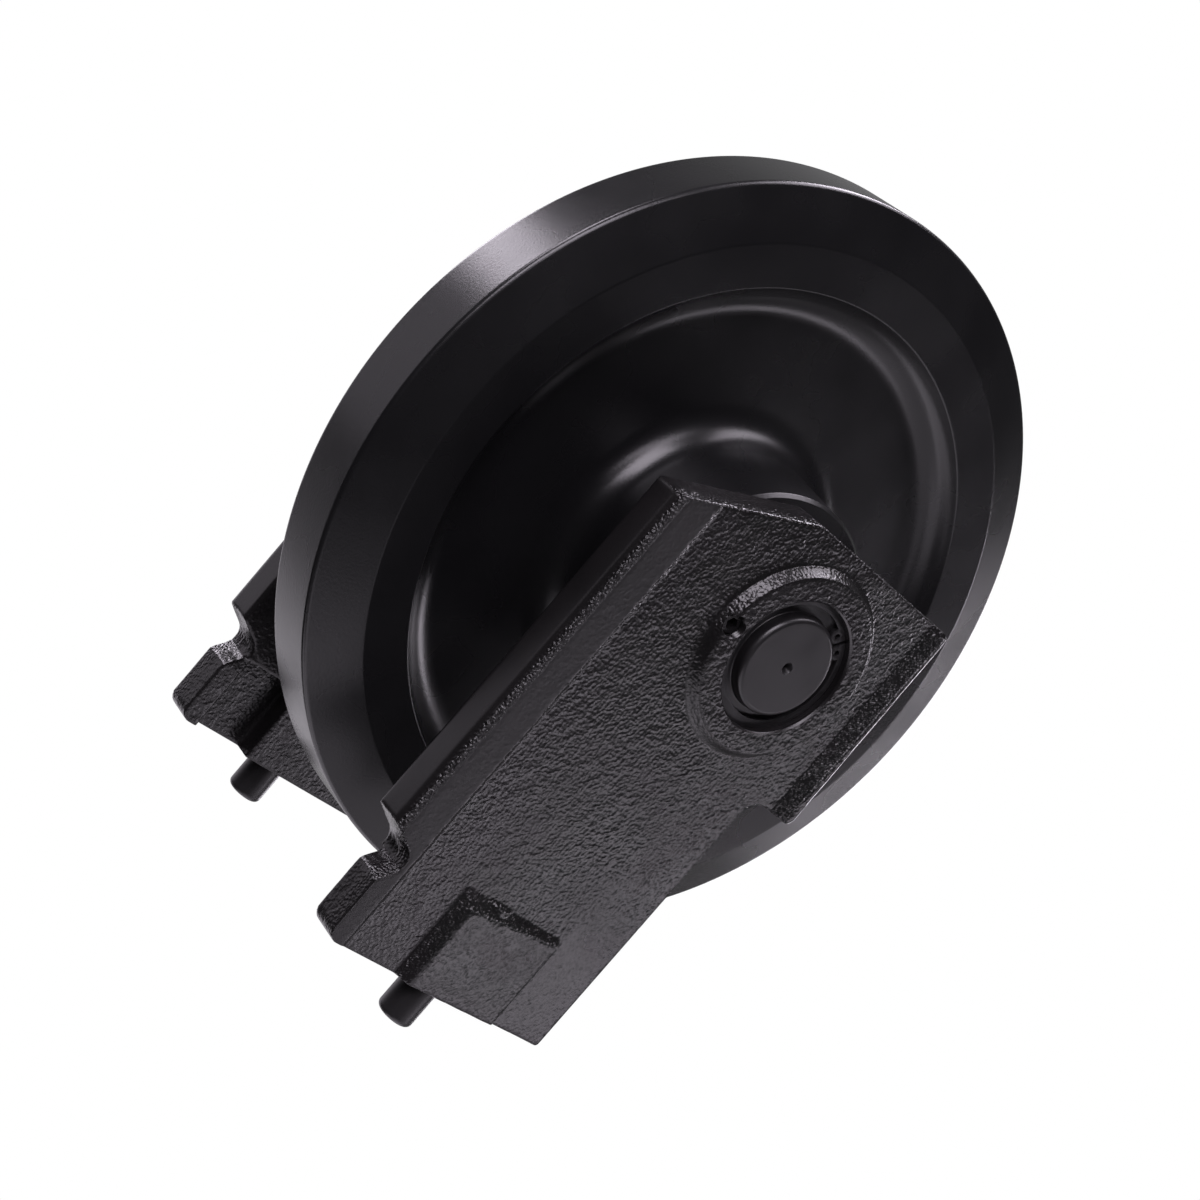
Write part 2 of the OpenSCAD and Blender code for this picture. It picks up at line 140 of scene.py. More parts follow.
def blend(tree, dark, light, pattern):
    """Mixes two sRGB colours by a texture."""
    return add(tree, "ShaderNodeMix", {"A": linear(dark), "B": linear(light)}, {"Factor": pattern.outputs["Fac"]},
               data_type="RGBA")


def finish(tree, shader, tint, gloss, bump=None):
    """Joins colour, roughness and, where there is one, relief to the shader."""
    tree.links.new(tint.outputs["Result"], shader.inputs["Base Color"])
    tree.links.new(gloss.outputs[0], shader.inputs["Roughness"])
    if bump is not None:
        tree.links.new(bump.outputs["Normal"], shader.inputs["Normal"])


# Satin black enamel sprayed on a machined wheel: even, nearly black, with a soft wide gloss and a faint orange peel.
def wheel_enamel():
    material, tree, shader, where = new_material("satin_black_enamel")
    clouds = add(tree, "ShaderNodeTexNoise", {"Scale": per(45), "Detail": 3.0}, {"Vector": where})
    tint = blend(tree, "#0d0d0e", "#161617", clouds)
    peel = add(tree, "ShaderNodeTexNoise", {"Scale": per(1.1), "Detail": 2.0}, {"Vector": where})
    gloss = add(tree, "ShaderNodeMapRange", {"From Min": 0.3, "From Max": 0.7, "To Min": 0.24, "To Max": 0.3},
                {"Value": clouds.outputs["Fac"]})
    bump = add(tree, "ShaderNodeBump", {"Strength": 1.0, "Distance": 0.00004}, {"Height": peel.outputs["Fac"]})
    finish(tree, shader, tint, gloss, bump)
    return material


# Black enamel over a sand casting: the paint fills the sand's grain into small glossy swellings with creases between,
# and glitters on walls and roundings, where the mould's sand stood coarser.
# The attribute cast_skin is 1 on the raw casting and near 0 on milled faces; coarse_sand is 1 or more on walls and
# roundings; rubbed_band is 1 on the smooth dull band under the top edge.
def casting_enamel():
    material, tree, shader, where = new_material("black_enamel_on_sand_casting")
    skin = add(tree, "ShaderNodeAttribute", attribute_name="cast_skin").outputs["Fac"]
    coarse = add(tree, "ShaderNodeAttribute", attribute_name="coarse_sand").outputs["Fac"]
    rubbed = add(tree, "ShaderNodeAttribute", attribute_name="rubbed_band").outputs["Fac"]
    warp = add(tree, "ShaderNodeTexNoise", {"Scale": per(6), "Detail": 1.0}, {"Vector": where})
    bend = add(tree, "ShaderNodeVectorMath", {1: (0.0012, 0.0012, 0.0012)}, {0: warp.outputs["Color"]},
               operation="MULTIPLY")
    bent = add(tree, "ShaderNodeVectorMath", links={0: where, 1: bend.outputs["Vector"]}, operation="ADD")
    grain = add(tree, "ShaderNodeTexNoise", {"Scale": per(1.45), "Detail": 0.4, "Roughness": 0.5},
                {"Vector": bent.outputs["Vector"]})
    centred = add(tree, "ShaderNodeMath", {1: 0.5}, {0: grain.outputs["Fac"]}, operation="SUBTRACT")
    crease = add(tree, "ShaderNodeMath", links={0: centred.outputs["Value"]}, operation="ABSOLUTE")
    swelling = add(tree, "ShaderNodeMath", {1: 0.25}, {0: crease.outputs["Value"], 2: centred.outputs["Value"]},
                   operation="MULTIPLY_ADD")
    height = add(tree, "ShaderNodeMath", links={0: swelling.outputs["Value"], 1: skin}, operation="MULTIPLY")
    sand = add(tree, "ShaderNodeTexNoise", {"Scale": per(1.1), "Detail": 0.0}, {"Vector": where})
    glitter = add(tree, "ShaderNodeMath", links={0: sand.outputs["Fac"], 1: coarse}, operation="MULTIPLY")
    relief = add(tree, "ShaderNodeMath", {1: 1.6}, {0: glitter.outputs["Value"], 2: height.outputs["Value"]},
                 operation="MULTIPLY_ADD")
    bump = add(tree, "ShaderNodeBump", {"Strength": 1.0, "Distance": 0.00025}, {"Height": relief.outputs["Value"]})
    patches = add(tree, "ShaderNodeTexNoise", {"Scale": per(30), "Detail": 4.0}, {"Vector": where})
    tint = blend(tree, "#101010", "#1c1a1b", patches)
    gloss = add(tree, "ShaderNodeMapRange", {"From Min": 0.3, "From Max": 0.7, "To Min": 0.22, "To Max": 0.28},
                {"Value": patches.outputs["Fac"]})
    dull = add(tree, "ShaderNodeMath", {1: 0.17}, {0: rubbed, 2: gloss.outputs["Result"]}, operation="MULTIPLY_ADD")
    finish(tree, shader, tint, dull, bump)
    return material


# Scales of the rings that a lathe leaves. A wave runs through 20 radians for each unit of its scaled coordinate, so
# the rings lie 4.4 and 5.7 mm apart, coarser than a real feed.
SHAFT_RINGS = per(14)
SEAL_RINGS = per(18)


# Thin black enamel on turned steel: smoother than the casting, with the lathe's rings just showing through.
def turned_enamel(name, axis, dark, light, roughness):
    material, tree, shader, where = new_material(name)
    clouds = add(tree, "ShaderNodeTexNoise", {"Scale": per(14), "Detail": 3.0}, {"Vector": where})
    tint = blend(tree, dark, light, clouds)
    rings = add(tree, "ShaderNodeTexWave", {"Scale": SHAFT_RINGS, "Distortion": 0.4, "Detail": 1.0},
                {"Vector": where}, wave_type="RINGS", rings_direction=axis)
    bump = add(tree, "ShaderNodeBump", {"Strength": 1.0, "Distance": 0.000006}, {"Height": rings.outputs["Fac"]})
    gloss = add(tree, "ShaderNodeMapRange",
                {"From Min": 0.3, "From Max": 0.7, "To Min": roughness - 0.04, "To Max": roughness + 0.05},
                {"Value": clouds.outputs["Fac"]})
    finish(tree, shader, tint, gloss, bump)
    return material


# Phosphated spring steel: dark grey, dull, with slightly paler worn spots.
def phosphated_steel():
    material, tree, shader, where = new_material("phosphated_spring_steel", Metallic=0.3)
    spots = add(tree, "ShaderNodeTexNoise", {"Scale": per(2.5), "Detail": 4.0}, {"Vector": where})
    tint = blend(tree, "#171617", "#2a292a", spots)
    gloss = add(tree, "ShaderNodeMapRange", {"To Min": 0.34, "To Max": 0.6}, {"Value": spots.outputs["Fac"]})
    finish(tree, shader, tint, gloss)
    return material


# Lapped steel of the seal rings and cast bronze of the bushings: bare metal with turning lines round the axle.
def bare_metal(name, dark, light, roughness):
    material, tree, shader, where = new_material(name, Metallic=1.0)
    lines = add(tree, "ShaderNodeTexWave", {"Scale": SEAL_RINGS, "Distortion": 1.5, "Detail": 2.0},
                {"Vector": where}, wave_type="RINGS", rings_direction="Y")
    tint = blend(tree, dark, light, lines)
    gloss = add(tree, "ShaderNodeMapRange", {"To Min": roughness - 0.06, "To Max": roughness + 0.06},
                {"Value": lines.outputs["Fac"]})
    finish(tree, shader, tint, gloss)
    return material


# Moulded nitrile rubber: matt black with a slight bloom.
def nitrile():
    material, tree, shader, where = new_material("nitrile_rubber", Specular_IOR_Level=0.35)
    bloom = add(tree, "ShaderNodeTexNoise", {"Scale": per(4), "Detail": 4.0}, {"Vector": where})
    tint = blend(tree, "#0b0b0b", "#1c1c1d", bloom)
    gloss = add(tree, "ShaderNodeMapRange", {"To Min": 0.6, "To Max": 0.85}, {"Value": bloom.outputs["Fac"]})
    finish(tree, shader, tint, gloss)
    return material


WHEEL = wheel_enamel()
CASTING = casting_enamel()
SHAFT = turned_enamel("black_enamel_on_turned_shaft", "Y", "#151415", "#1e1d1e", 0.33)
PIN = turned_enamel("black_enamel_on_turned_pin", "X", "#1b1a1b", "#232223", 0.36)
PLUG = turned_enamel("black_oxide_plug", "Y", "#151415", "#201f20", 0.28)
SPRING = phosphated_steel()
SEAL_STEEL = bare_metal("lapped_seal_steel", "#8f9296", "#b4b7ba", 0.22)
BRONZE = bare_metal("cast_bronze", "#8a6534", "#b58a4c", 0.34)
RUBBER = nitrile()


# Geometry Nodes trees

def new_tree(name, *inputs):
    """A Geometry Nodes tree with a geometry input, the named inputs and a material input."""
    tree = bpy.data.node_groups.new(name, "GeometryNodeTree")
    tree.interface.new_socket(name="Geometry", in_out="OUTPUT", socket_type="NodeSocketGeometry")
    tree.interface.new_socket(name="Geometry", in_out="INPUT", socket_type="NodeSocketGeometry")
    for label, kind in inputs:
        tree.interface.new_socket(name=label, in_out="INPUT", socket_type=kind)
    tree.interface.new_socket(name="Material", in_out="INPUT", socket_type="NodeSocketMaterial")
    return tree, add(tree, "NodeGroupInput").outputs


def close_tree(tree, given, geometry):
    """Ends a tree in Realize Instances and Set Material."""
    real = add(tree, "GeometryNodeRealizeInstances", links={"Geometry": geometry})
    dressed = add(tree, "GeometryNodeSetMaterial",
                  links={"Geometry": real.outputs["Geometry"], "Material": given["Material"]})
    add(tree, "NodeGroupOutput", links={"Geometry": dressed.outputs["Geometry"]})
    return tree


def turning_tree():
    """Turns a profile of edges round an axis, as a lathe does: x is the distance outside Datum radius."""
    tree, given = new_tree("lathe_turning", ("Segments", "NodeSocketInt"), ("Datum radius", "NodeSocketFloat"),
                           ("Weld distance", "NodeSocketFloat"))
    profile = add(tree, "GeometryNodeMeshToCurve", links={"Mesh": given["Geometry"]})
    path = add(tree, "GeometryNodeCurvePrimitiveCircle",
               links={"Resolution": given["Segments"], "Radius": given["Datum radius"]})
    swept = add(tree, "GeometryNodeCurveToMesh",
                links={"Curve": path.outputs["Curve"], "Profile Curve": profile.outputs["Curve"]})
    welded = add(tree, "GeometryNodeMergeByDistance",
                 links={"Geometry": swept.outputs["Mesh"], "Distance": given["Weld distance"]})
    return close_tree(tree, given, welded.outputs["Geometry"])


def skin_tree():
    """Gives a casting the uneven skin of its sand mould: broad lumps and smaller dents, scaled by cast_skin and
    flatter where coarse_sand is high."""
    tree, given = new_tree("sand_cast_skin", ("Lump size", "NodeSocketFloat"), ("Lump depth", "NodeSocketFloat"),
                           ("Dent size", "NodeSocketFloat"), ("Dent depth", "NodeSocketFloat"),
                           ("Seed", "NodeSocketFloat"))
    where = add(tree, "GeometryNodeInputPosition").outputs["Position"]
    out = add(tree, "GeometryNodeInputNormal").outputs["Normal"]
    skin = add(tree, "GeometryNodeInputNamedAttribute", {"Name": "cast_skin"}, data_type="FLOAT").outputs["Attribute"]
    total = None
    for size, depth in (("Lump size", "Lump depth"), ("Dent size", "Dent depth")):
        scale = add(tree, "ShaderNodeMath", {0: 1.0}, {1: given[size]}, operation="DIVIDE")
        noise = add(tree, "ShaderNodeTexNoise", {"Detail": 0.5},
                    {"Vector": where, "W": given["Seed"], "Scale": scale.outputs["Value"]}, noise_dimensions="4D")
        centred = add(tree, "ShaderNodeMath", {1: 0.5}, {0: noise.outputs["Fac"]}, operation="SUBTRACT")
        layer = add(tree, "ShaderNodeMath", links={0: centred.outputs["Value"], 1: given[depth]},
                    operation="MULTIPLY")
        if total is not None:
            layer = add(tree, "ShaderNodeMath", links={0: total, 1: layer.outputs["Value"]}, operation="ADD")
        total = layer.outputs["Value"]
    wall = add(tree, "GeometryNodeInputNamedAttribute", {"Name": "coarse_sand"},
               data_type="FLOAT").outputs["Attribute"]
    level = add(tree, "ShaderNodeMath", {1: -0.6}, {0: wall, 2: skin}, operation="MULTIPLY_ADD", use_clamp=True)
    masked = add(tree, "ShaderNodeMath", links={0: total, 1: level.outputs["Value"]}, operation="MULTIPLY")
    offset = add(tree, "ShaderNodeVectorMath", links={0: out, "Scale": masked.outputs["Value"]}, operation="SCALE")
    moved = add(tree, "GeometryNodeSetPosition",
                links={"Geometry": given["Geometry"], "Offset": offset.outputs["Vector"]})
    return close_tree(tree, given, moved.outputs["Geometry"])


TURNING = turning_tree()
SKIN = skin_tree()


def place(name, mesh):
    """Puts a mesh in the scene as an object at the origin."""
    piece = bpy.data.objects.new(name, mesh)
    bpy.context.scene.collection.objects.link(piece)
    return piece


def settle(piece):
    """Turns the piece's modifiers into a plain mesh."""
    depsgraph = bpy.context.evaluated_depsgraph_get()
    mesh = bpy.data.meshes.new_from_object(piece.evaluated_get(depsgraph), depsgraph=depsgraph)
    mesh.name = piece.name
    piece.modifiers.clear()
    piece.data = mesh
    return piece


def grow(piece, tree, **values):
    """Runs a Geometry Nodes tree on the piece, its inputs given by name with _ for a blank."""
    modifier = piece.modifiers.new(tree.name, "NODES")
    modifier.node_group = tree
    for item in tree.interface.items_tree:
        key = item.name.lower().replace(" ", "_")
        if item.in_out == "INPUT" and key in values:
            modifier[item.identifier] = values[key]
    return settle(piece)


def face_outwards(mesh):
    """Makes all faces point outwards."""
    shell = bmesh.new()
    shell.from_mesh(mesh)
    bmesh.ops.recalc_face_normals(shell, faces=shell.faces)
    shell.to_mesh(mesh)
    shell.free()


def smooth(piece, sharp_degrees=32):
    """Shades the piece smooth, with a crisp line where two faces meet at more than that angle."""
    piece.data.polygons.foreach_set("use_smooth", [True] * len(piece.data.polygons))
    piece.data.set_sharp_from_angle(angle=math.radians(sharp_degrees))
    return piece


# Turned pieces

HOLD = 0.35  # distance from a rounding at which a straight run is held flat, in millimetres
ARC_STEP = math.radians(5)


def corner_arc(before, at, after, radius):
    """Points of the rounding of one corner."""
    before, at, after = (np.array(p[:2], float) for p in (before, at, after))
    u = (before - at) / np.linalg.norm(before - at)
    v = (after - at) / np.linalg.norm(after - at)
    half = math.acos(max(-1.0, min(1.0, float(u @ v)))) / 2
    centre = at + (u + v) / np.linalg.norm(u + v) * radius / math.sin(half)
    first = at + u * radius / math.tan(half) - centre
    last = at + v * radius / math.tan(half) - centre
    start = math.atan2(first[1], first[0])
    sweep = (math.atan2(last[1], last[0]) - start + math.pi) % (2 * math.pi) - math.pi
    steps = max(3, math.ceil(abs(sweep) / ARC_STEP))
    return [centre + radius * np.array([math.cos(a), math.sin(a)])
            for a in (start + sweep * i / steps for i in range(steps + 1))]


def profile_points(corners, closed):
    """Rounds the corners (x, y, radius) and holds each straight run flat near its ends."""
    count = len(corners)
    groups = []
    for i, corner in enumerate(corners):
        if corner[2] == 0:
            groups.append([np.array(corner[:2], float)])
        else:
            groups.append(corner_arc(corners[i - 1], corner, corners[(i + 1) % count], corner[2]))
    points = []
    for i, group in enumerate(groups):
        points += group
        if i == count - 1 and not closed:
            break
        start, end = group[-1], groups[(i + 1) % count][0]
        length = np.linalg.norm(end - start)
        if length > 3 * HOLD:
            step = (end - start) / length * HOLD
            points += [start + step, end - step]
    return points


def turned(name, corners, closed, segments, material=None):
    """A turned piece round the Y axis, from corners (radius, place along the axis, rounding) in millimetres."""
    points = profile_points(corners, closed)
    datum = 100.0
    mesh = bpy.data.meshes.new(name)
    count = len(points)
    edges = [(i, i + 1) for i in range(count - 1)] + ([(count - 1, 0)] if closed else [])
    mesh.from_pydata([((p[0] - datum) * MM, p[1] * MM, 0) for p in points], edges, [])
    piece = grow(place(name, mesh), TURNING, segments=segments, datum_radius=datum * MM, weld_distance=WELD,
                 material=material)
    piece.data.transform(Matrix.Rotation(math.pi / 2, 4, "X"))
    face_outwards(piece.data)
    return piece


def both_halves(half):
    """Adds the mirrored half of a profile that is symmetrical along the axis."""
    return half + [(r, -y, rounding) for r, y, rounding in reversed(half)]


# Halves of the profiles, from the middle outwards: radius, place along the axis and rounding, in millimetres
WHEEL_HALF = [
    (37.05, 15, 0), (35.05, 15, 0), (35.05, 47, 0),  # oil chamber and the bushing's seat
    (SEAL_FLOOR_R, 47, 0), (SEAL_MOUTH_R, 58, 0.4),  # seal pocket
    (57.9, 58, 0.6), (59.5, 56.4, 0.6),  # end of the hub
    (63.5, 10.6, 15.5), (127.8, 10.6, 17), (133.2, 22.9, 0.9),  # web between its two fillets
    (152.5, 23.5, 2.5), (175, 15.2, 2.4)]  # side of the rim, shoulder and tread
SHAFT_HALF = [
    (29, 15, 0), (SHAFT_R, 16, 0), (SHAFT_R, 75.525, 0),  # relief in the oil chamber, running surface
    (27.77, 75.525, 0), (27.77, 78.675, 0), (SHAFT_R, 78.675, 0),  # groove of the rubber ring
    (SHAFT_R, 87.14, 0), (29, 88.14, 0),  # chamfer under the circlip
    (22.5, 88.14, 0.8), (22.5, BOSS_Y, 2.2),  # turned-down end
    (2.6, BOSS_Y, 0.25), (1.2, 91.4, 0), (1.2, 85.2, 0), (0, 85.2, 0)]  # lathe centre

wheel = smooth(turned("wheel_turned", both_halves(WHEEL_HALF), True, 288, WHEEL))
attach(wheel, "wheel")
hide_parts("idler_wheel")

shaft = smooth(turned("shaft_turned", both_halves(SHAFT_HALF), True, 144, SHAFT))
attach(shaft, "frame")
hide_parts("axle_shaft")


def cut(piece, *tools):
    """Cuts closed tools out of a closed piece."""
    for tool in tools:
        modifier = piece.modifiers.new("cut", "BOOLEAN")
        modifier.operation = "DIFFERENCE"
        modifier.solver = "MANIFOLD"
        modifier.object = tool
    settle(piece)
    for tool in tools:
        bpy.data.objects.remove(tool)
    return piece


def moved(piece, matrix):
    """Moves the piece's mesh."""
    piece.data.transform(matrix)
    return piece


def mirrored(name, mesh):
    """The mesh mirrored to the right side, with its faces turned outwards again."""
    copy = mesh.copy()
    copy.transform(Matrix.Scale(-1, 4, (0, 1, 0)))
    copy.flip_normals()
    return place(name, copy)


def dress(piece, node):
    """Lets a piece stand for its solid on the fixed frame."""
    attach(piece, "frame")
    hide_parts(node)


# Locating pins

def to_pin(sign):
    """Takes a piece that lies along Y to the pin's place on that side, with its axis along X."""
    at = Vector((REAR_X, sign * PIN_Y, PIN_Z)) * MM
    return Matrix.Translation(at) @ Matrix.Rotation(-math.pi / 2, 4, "Z")


for side, sign in SIDES.items():
    pin = turned("pin_" + side, [(0, -PIN_OUT, 0), (PIN_R, -PIN_OUT, 2.6), (PIN_R, -0.3, 0.2), (PIN_SHANK_R, 0, 0.15),
                                 (PIN_SHANK_R, PIN_IN, 0.6), (0, PIN_IN, 0)], False, 72, PIN)
    moved(pin, to_pin(sign))
    dress(smooth(pin), "locating_pin_" + side)


# Oil plugs with a hexagon socket

def hexagon(name, across_flats, from_y, to_y):
    """A hexagonal bar along Y."""
    reach = across_flats / 2 / math.cos(math.pi / 6) * MM
    shape = bmesh.new()
    bmesh.ops.create_cone(shape, cap_ends=True, segments=6, radius1=reach, radius2=reach, depth=(to_y - from_y) * MM)
    bmesh.ops.transform(shape, matrix=Matrix.Translation((0, (from_y + to_y) / 2 * MM, 0)) @
                        Matrix.Rotation(math.pi / 2, 4, "X"), verts=shape.verts)
    mesh = bpy.data.meshes.new(name)
    shape.to_mesh(mesh)
    shape.free()
    return place(name, mesh)


PLUG_CHAMFER = 0.9
plug_end_y = PLUG_TOP_Y - PLUG_LENGTH
plug = turned("oil_plug_body_left", [
    (0, plug_end_y, 0), (PLUG_R - PLUG_CHAMFER, plug_end_y, 0), (PLUG_R, plug_end_y + PLUG_CHAMFER, 0.2),
    (PLUG_R, PLUG_TOP_Y - PLUG_CHAMFER, 0.3), (PLUG_R - PLUG_CHAMFER, PLUG_TOP_Y, 0.3), (0, PLUG_TOP_Y, 0)],
    False, 64, PLUG)
cut(plug, hexagon("socket", PLUG_KEY, PLUG_TOP_Y - PLUG_KEY, PLUG_TOP_Y + 1.0))
moved(plug, Matrix.Translation((0, 0, PLUG_Z * MM)))
dress(smooth(plug), "oil_plug_left")
dress(smooth(mirrored("oil_plug_body_right", plug.data)), "oil_plug_right")


# Cast brackets: the outer form is softened as a sand mould leaves it, and then bored and drilled

VOXEL = 0.7  # grid on which the casting is rebuilt, in millimetres
SOFTENING = 3  # passes that round the casting's edges
LUMPS = {"lump_size": 7.5 * MM, "lump_depth": 0.25 * MM}
DENTS = {"dent_size": 2.4 * MM, "dent_depth": 0.3 * MM}
KEPT_SHARE = 0.42  # share of that grid's faces that stays; edges and grain keep theirs, level ground gives them up


def welded_copy(node):
    """A closed copy of a solid's mesh."""
    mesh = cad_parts[node].data.copy()
    mesh.materials.clear()
    shell = bmesh.new()
    shell.from_mesh(mesh)
    bmesh.ops.remove_doubles(shell, verts=shell.verts, dist=WELD)
    shell.to_mesh(mesh)
    shell.free()
    return mesh


def joined(name, *pieces):
    """One mesh of several closed shells."""
    shell = bmesh.new()
    for piece in pieces:
        shell.from_mesh(piece.data)
        bpy.data.objects.remove(piece)
    mesh = bpy.data.meshes.new(name)
    shell.to_mesh(mesh)
    shell.free()
    return place(name, mesh)


def bar(name, radius, from_y, to_y, x=0, z=0):
    """A round bar along Y."""
    piece = turned(name, [(0, from_y, 0), (radius, from_y, 0), (radius, to_y, 0), (0, to_y, 0)], False, 96)
    return moved(piece, Matrix.Translation((x * MM, 0, z * MM)))


def ramp(values, low, high):
    """0 below low, 1 above high, smooth between."""
    t = np.clip((values - low) / (high - low), 0, 1)
    return t * t * (3 - 2 * t)


def store(mesh, name, values):
    """Keeps one number for each point of the mesh."""
    attribute = mesh.attributes.new(name, "FLOAT", "POINT")
    attribute.data.foreach_set("value", values.astype(np.float32))


# Ranges over which the casting's skin changes: first how a face is turned, as its normal's share along an axis,
# then places in millimetres; a range behind or below the axle is counted backwards or downwards
FACING_UP = (0.75, 0.95)
SQUARE_TO = (0.7, 0.95)
FACING_OUT = (0.6, 0.9)
STILL_OUT = (0.2, 0.45)
TURNED_DOWN = (0.15, 0.4)
TILTED = (-0.93, -0.82)
LEANING = (-0.985, -0.94)
TOP_LEVEL = (TOP_Z - 2, TOP_Z - 0.8)
REAR_FACE = (-REAR_X - 1.5, -REAR_X - 0.5)
FOOT_FACE = (56, 60)
TAIL_TO_BOSS = (-170, -30)
BAND_LEVEL = (80.5, 82.5)
BELOW_TOP = (-70, -60)
PAD_LEVEL = (10, 12)
PAD_REACH = (120, 150)
TOP_ROUNDING = (84, 90)
LIP_LEVEL = (48, 52)
LIP_REACH = (-150, -60)
NOTCH_REACH = (-164, -154)
TAIL_LEVEL = (60, 66)


def cast_skin(mesh):
    """Stores the casting's skin at each point: milled faces are smooth, the rest is rough, walls and roundings are
    coarsest, and the tail behind the notch is calmer again."""
    place_of = np.zeros(len(mesh.vertices) * 3)
    mesh.vertices.foreach_get("co", place_of)
    x, y, z = place_of.reshape(-1, 3).T / MM
    normal = np.zeros(len(mesh.vertices) * 3)
    mesh.vertices.foreach_get("normal", normal)
    nx, ny, nz = normal.reshape(-1, 3).T
    milled = ramp(nz, *FACING_UP) * ramp(z, *TOP_LEVEL)
    milled = np.maximum(milled, ramp(-nx, *SQUARE_TO) * ramp(-x, *REAR_FACE))
    milled = np.maximum(milled, ramp(-nz, *SQUARE_TO) * ramp(-x, *FOOT_FACE))
    rough = (0.8 + 0.2 * ramp(x, *TAIL_TO_BOSS)) * (1 - 0.95 * milled)
    band = ramp(z, *BAND_LEVEL) * ramp(ny, *FACING_OUT)
    store(mesh, "rubbed_band", band)
    rough *= 1 - 0.55 * band
    rough *= 1 - 0.85 * ramp(-nz, *TURNED_DOWN) * ramp(ny, *STILL_OUT) * ramp(-z, *BELOW_TOP)
    rough *= 1 - 0.4 * ramp(-z, *PAD_LEVEL) * ramp(-x, *PAD_REACH) * ramp(ny, *FACING_OUT)
    store(mesh, "cast_skin", rough)
    outside = ramp(y, INNER_Y + 9, INNER_Y + 13)
    tilted = ramp(-ny, *TILTED) * outside
    leaning = ramp(-ny, *LEANING) * outside
    near_axle = 1 - ramp(np.hypot(x, z), BOSS_BASE_R + 2, BOSS_BASE_R + 4)
    on_top = ramp(z, *TOP_ROUNDING)
    on_lip = ramp(-z, *LIP_LEVEL) * (1 - near_axle) * ramp(x, *LIP_REACH)
    ahead = 0.2 + 0.8 * ramp(x, *NOTCH_REACH)
    coarse = np.maximum((1.1 - 0.5 * near_axle) * tilted, leaning * (3.0 * on_top + 1.6 * on_lip))
    coarse *= (1 - milled) * (1 - ramp(-nz, *TURNED_DOWN)) * (1 - (1 - ahead) * ramp(z, *TAIL_LEVEL))
    store(mesh, "coarse_sand", coarse)


def keep_inside(mesh, box):
    """Holds every point within a solid's box."""
    points = np.zeros(len(mesh.vertices) * 3)
    mesh.vertices.foreach_get("co", points)
    held = np.clip(points.reshape(-1, 3), np.array(box[0]), np.array(box[1]))
    mesh.vertices.foreach_set("co", held.ravel())
    mesh.update()


def cast_bracket():
    """The left bracket."""
    body = joined(
        "bracket_cast_left", place("bracket_form", welded_copy("bracket_left")),
        bar("nose", NOSE_R + 1.2, NOSE_END_Y - 1.2, INNER_Y + 2),
        bar("seal", SEAL_BOSS_R, SEAL_MOUTH_Y - 0.8, INNER_Y + 2),
        bar("bore", NOSE_R, INNER_Y, OUTER_Y),
        turned("boss", [(0, OUTER_Y - 6, 0), (BOSS_BASE_R, OUTER_Y - 6, 0), (BOSS_BASE_R, OUTER_Y, 0),
                        (BOSS_TOP_R, BOSS_Y, 0), (0, BOSS_Y, 0)], False, 96),
        bar("plug", PLUG_HOLE_R + 1, INNER_Y, OUTER_Y, z=PLUG_Z),
        moved(bar("pin", PIN_HOLE_R + 0.67, 0, PIN_HOLE_DEPTH + 6), to_pin(1)))
    remesh = body.modifiers.new("mould", "REMESH")
    remesh.mode = "VOXEL"
    remesh.voxel_size = VOXEL * MM
    soften = body.modifiers.new("soften", "SMOOTH")
    soften.factor = 0.5
    soften.iterations = SOFTENING
    settle(body)
    cast_skin(body.data)
    grow(body, SKIN, **LUMPS, **DENTS, seed=3.0, material=CASTING)
    keep_inside(body.data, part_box("bracket_left"))
    thin = body.modifiers.new("thin", "DECIMATE")
    thin.ratio = KEPT_SHARE
    settle(body)
    bore = turned("bore_tool", [
        (0, 45, 0), (60, 45, 0), (60, SEAL_MOUTH_Y, 0), (SEAL_MOUTH_R, SEAL_MOUTH_Y, 0), (SEAL_FLOOR_R, INNER_Y, 0),
        (NOSE_R, INNER_Y, 0), (NOSE_R, NOSE_END_Y, 0), (BORE_R, NOSE_END_Y, 0), (BORE_R, GROOVE_IN_Y, 0),
        (GROOVE_R, GROOVE_IN_Y, 0), (GROOVE_R, GROOVE_OUT_Y, 0), (BORE_R, GROOVE_OUT_Y, 0),
        (BORE_R, BOSS_Y - 0.8, 0.6), (BORE_R + 2.8, BOSS_Y + 2, 0), (0, BOSS_Y + 2, 0)], False, 144)
    thread = [(PLUG_HOLE_R + (THREAD_DEPTH if i % 2 else 0.0), PLUG_HOLE_END_Y + 1 + i * THREAD_PITCH / 2, 0)
              for i in range(22)]
    drill = moved(turned("plug_tool", [(0, PLUG_HOLE_END_Y, 0), (PLUG_HOLE_R, PLUG_HOLE_END_Y, 0)] + thread +
                         [(PLUG_HOLE_R, BOSS_Y + 3, 0), (0, BOSS_Y + 3, 0)], False, 72),
                  Matrix.Translation((0, 0, PLUG_Z * MM)))
    passage = bar("passage_tool", PASSAGE_R, INNER_Y - 3, PLUG_HOLE_END_Y + 1, z=PLUG_Z)
    pin_hole = moved(bar("pin_tool", PIN_HOLE_R, -3, PIN_HOLE_DEPTH), to_pin(1))
    return cut(body, bore, drill, passage, pin_hole)


bracket = smooth(cast_bracket(), 38)
dress(bracket, "bracket_left")
dress(smooth(mirrored("bracket_cast_right", bracket.data), 38), "bracket_right")


# Circlips with broken edges

EDGE_BREAK = 0.14  # rounding of a stamped edge, in millimetres


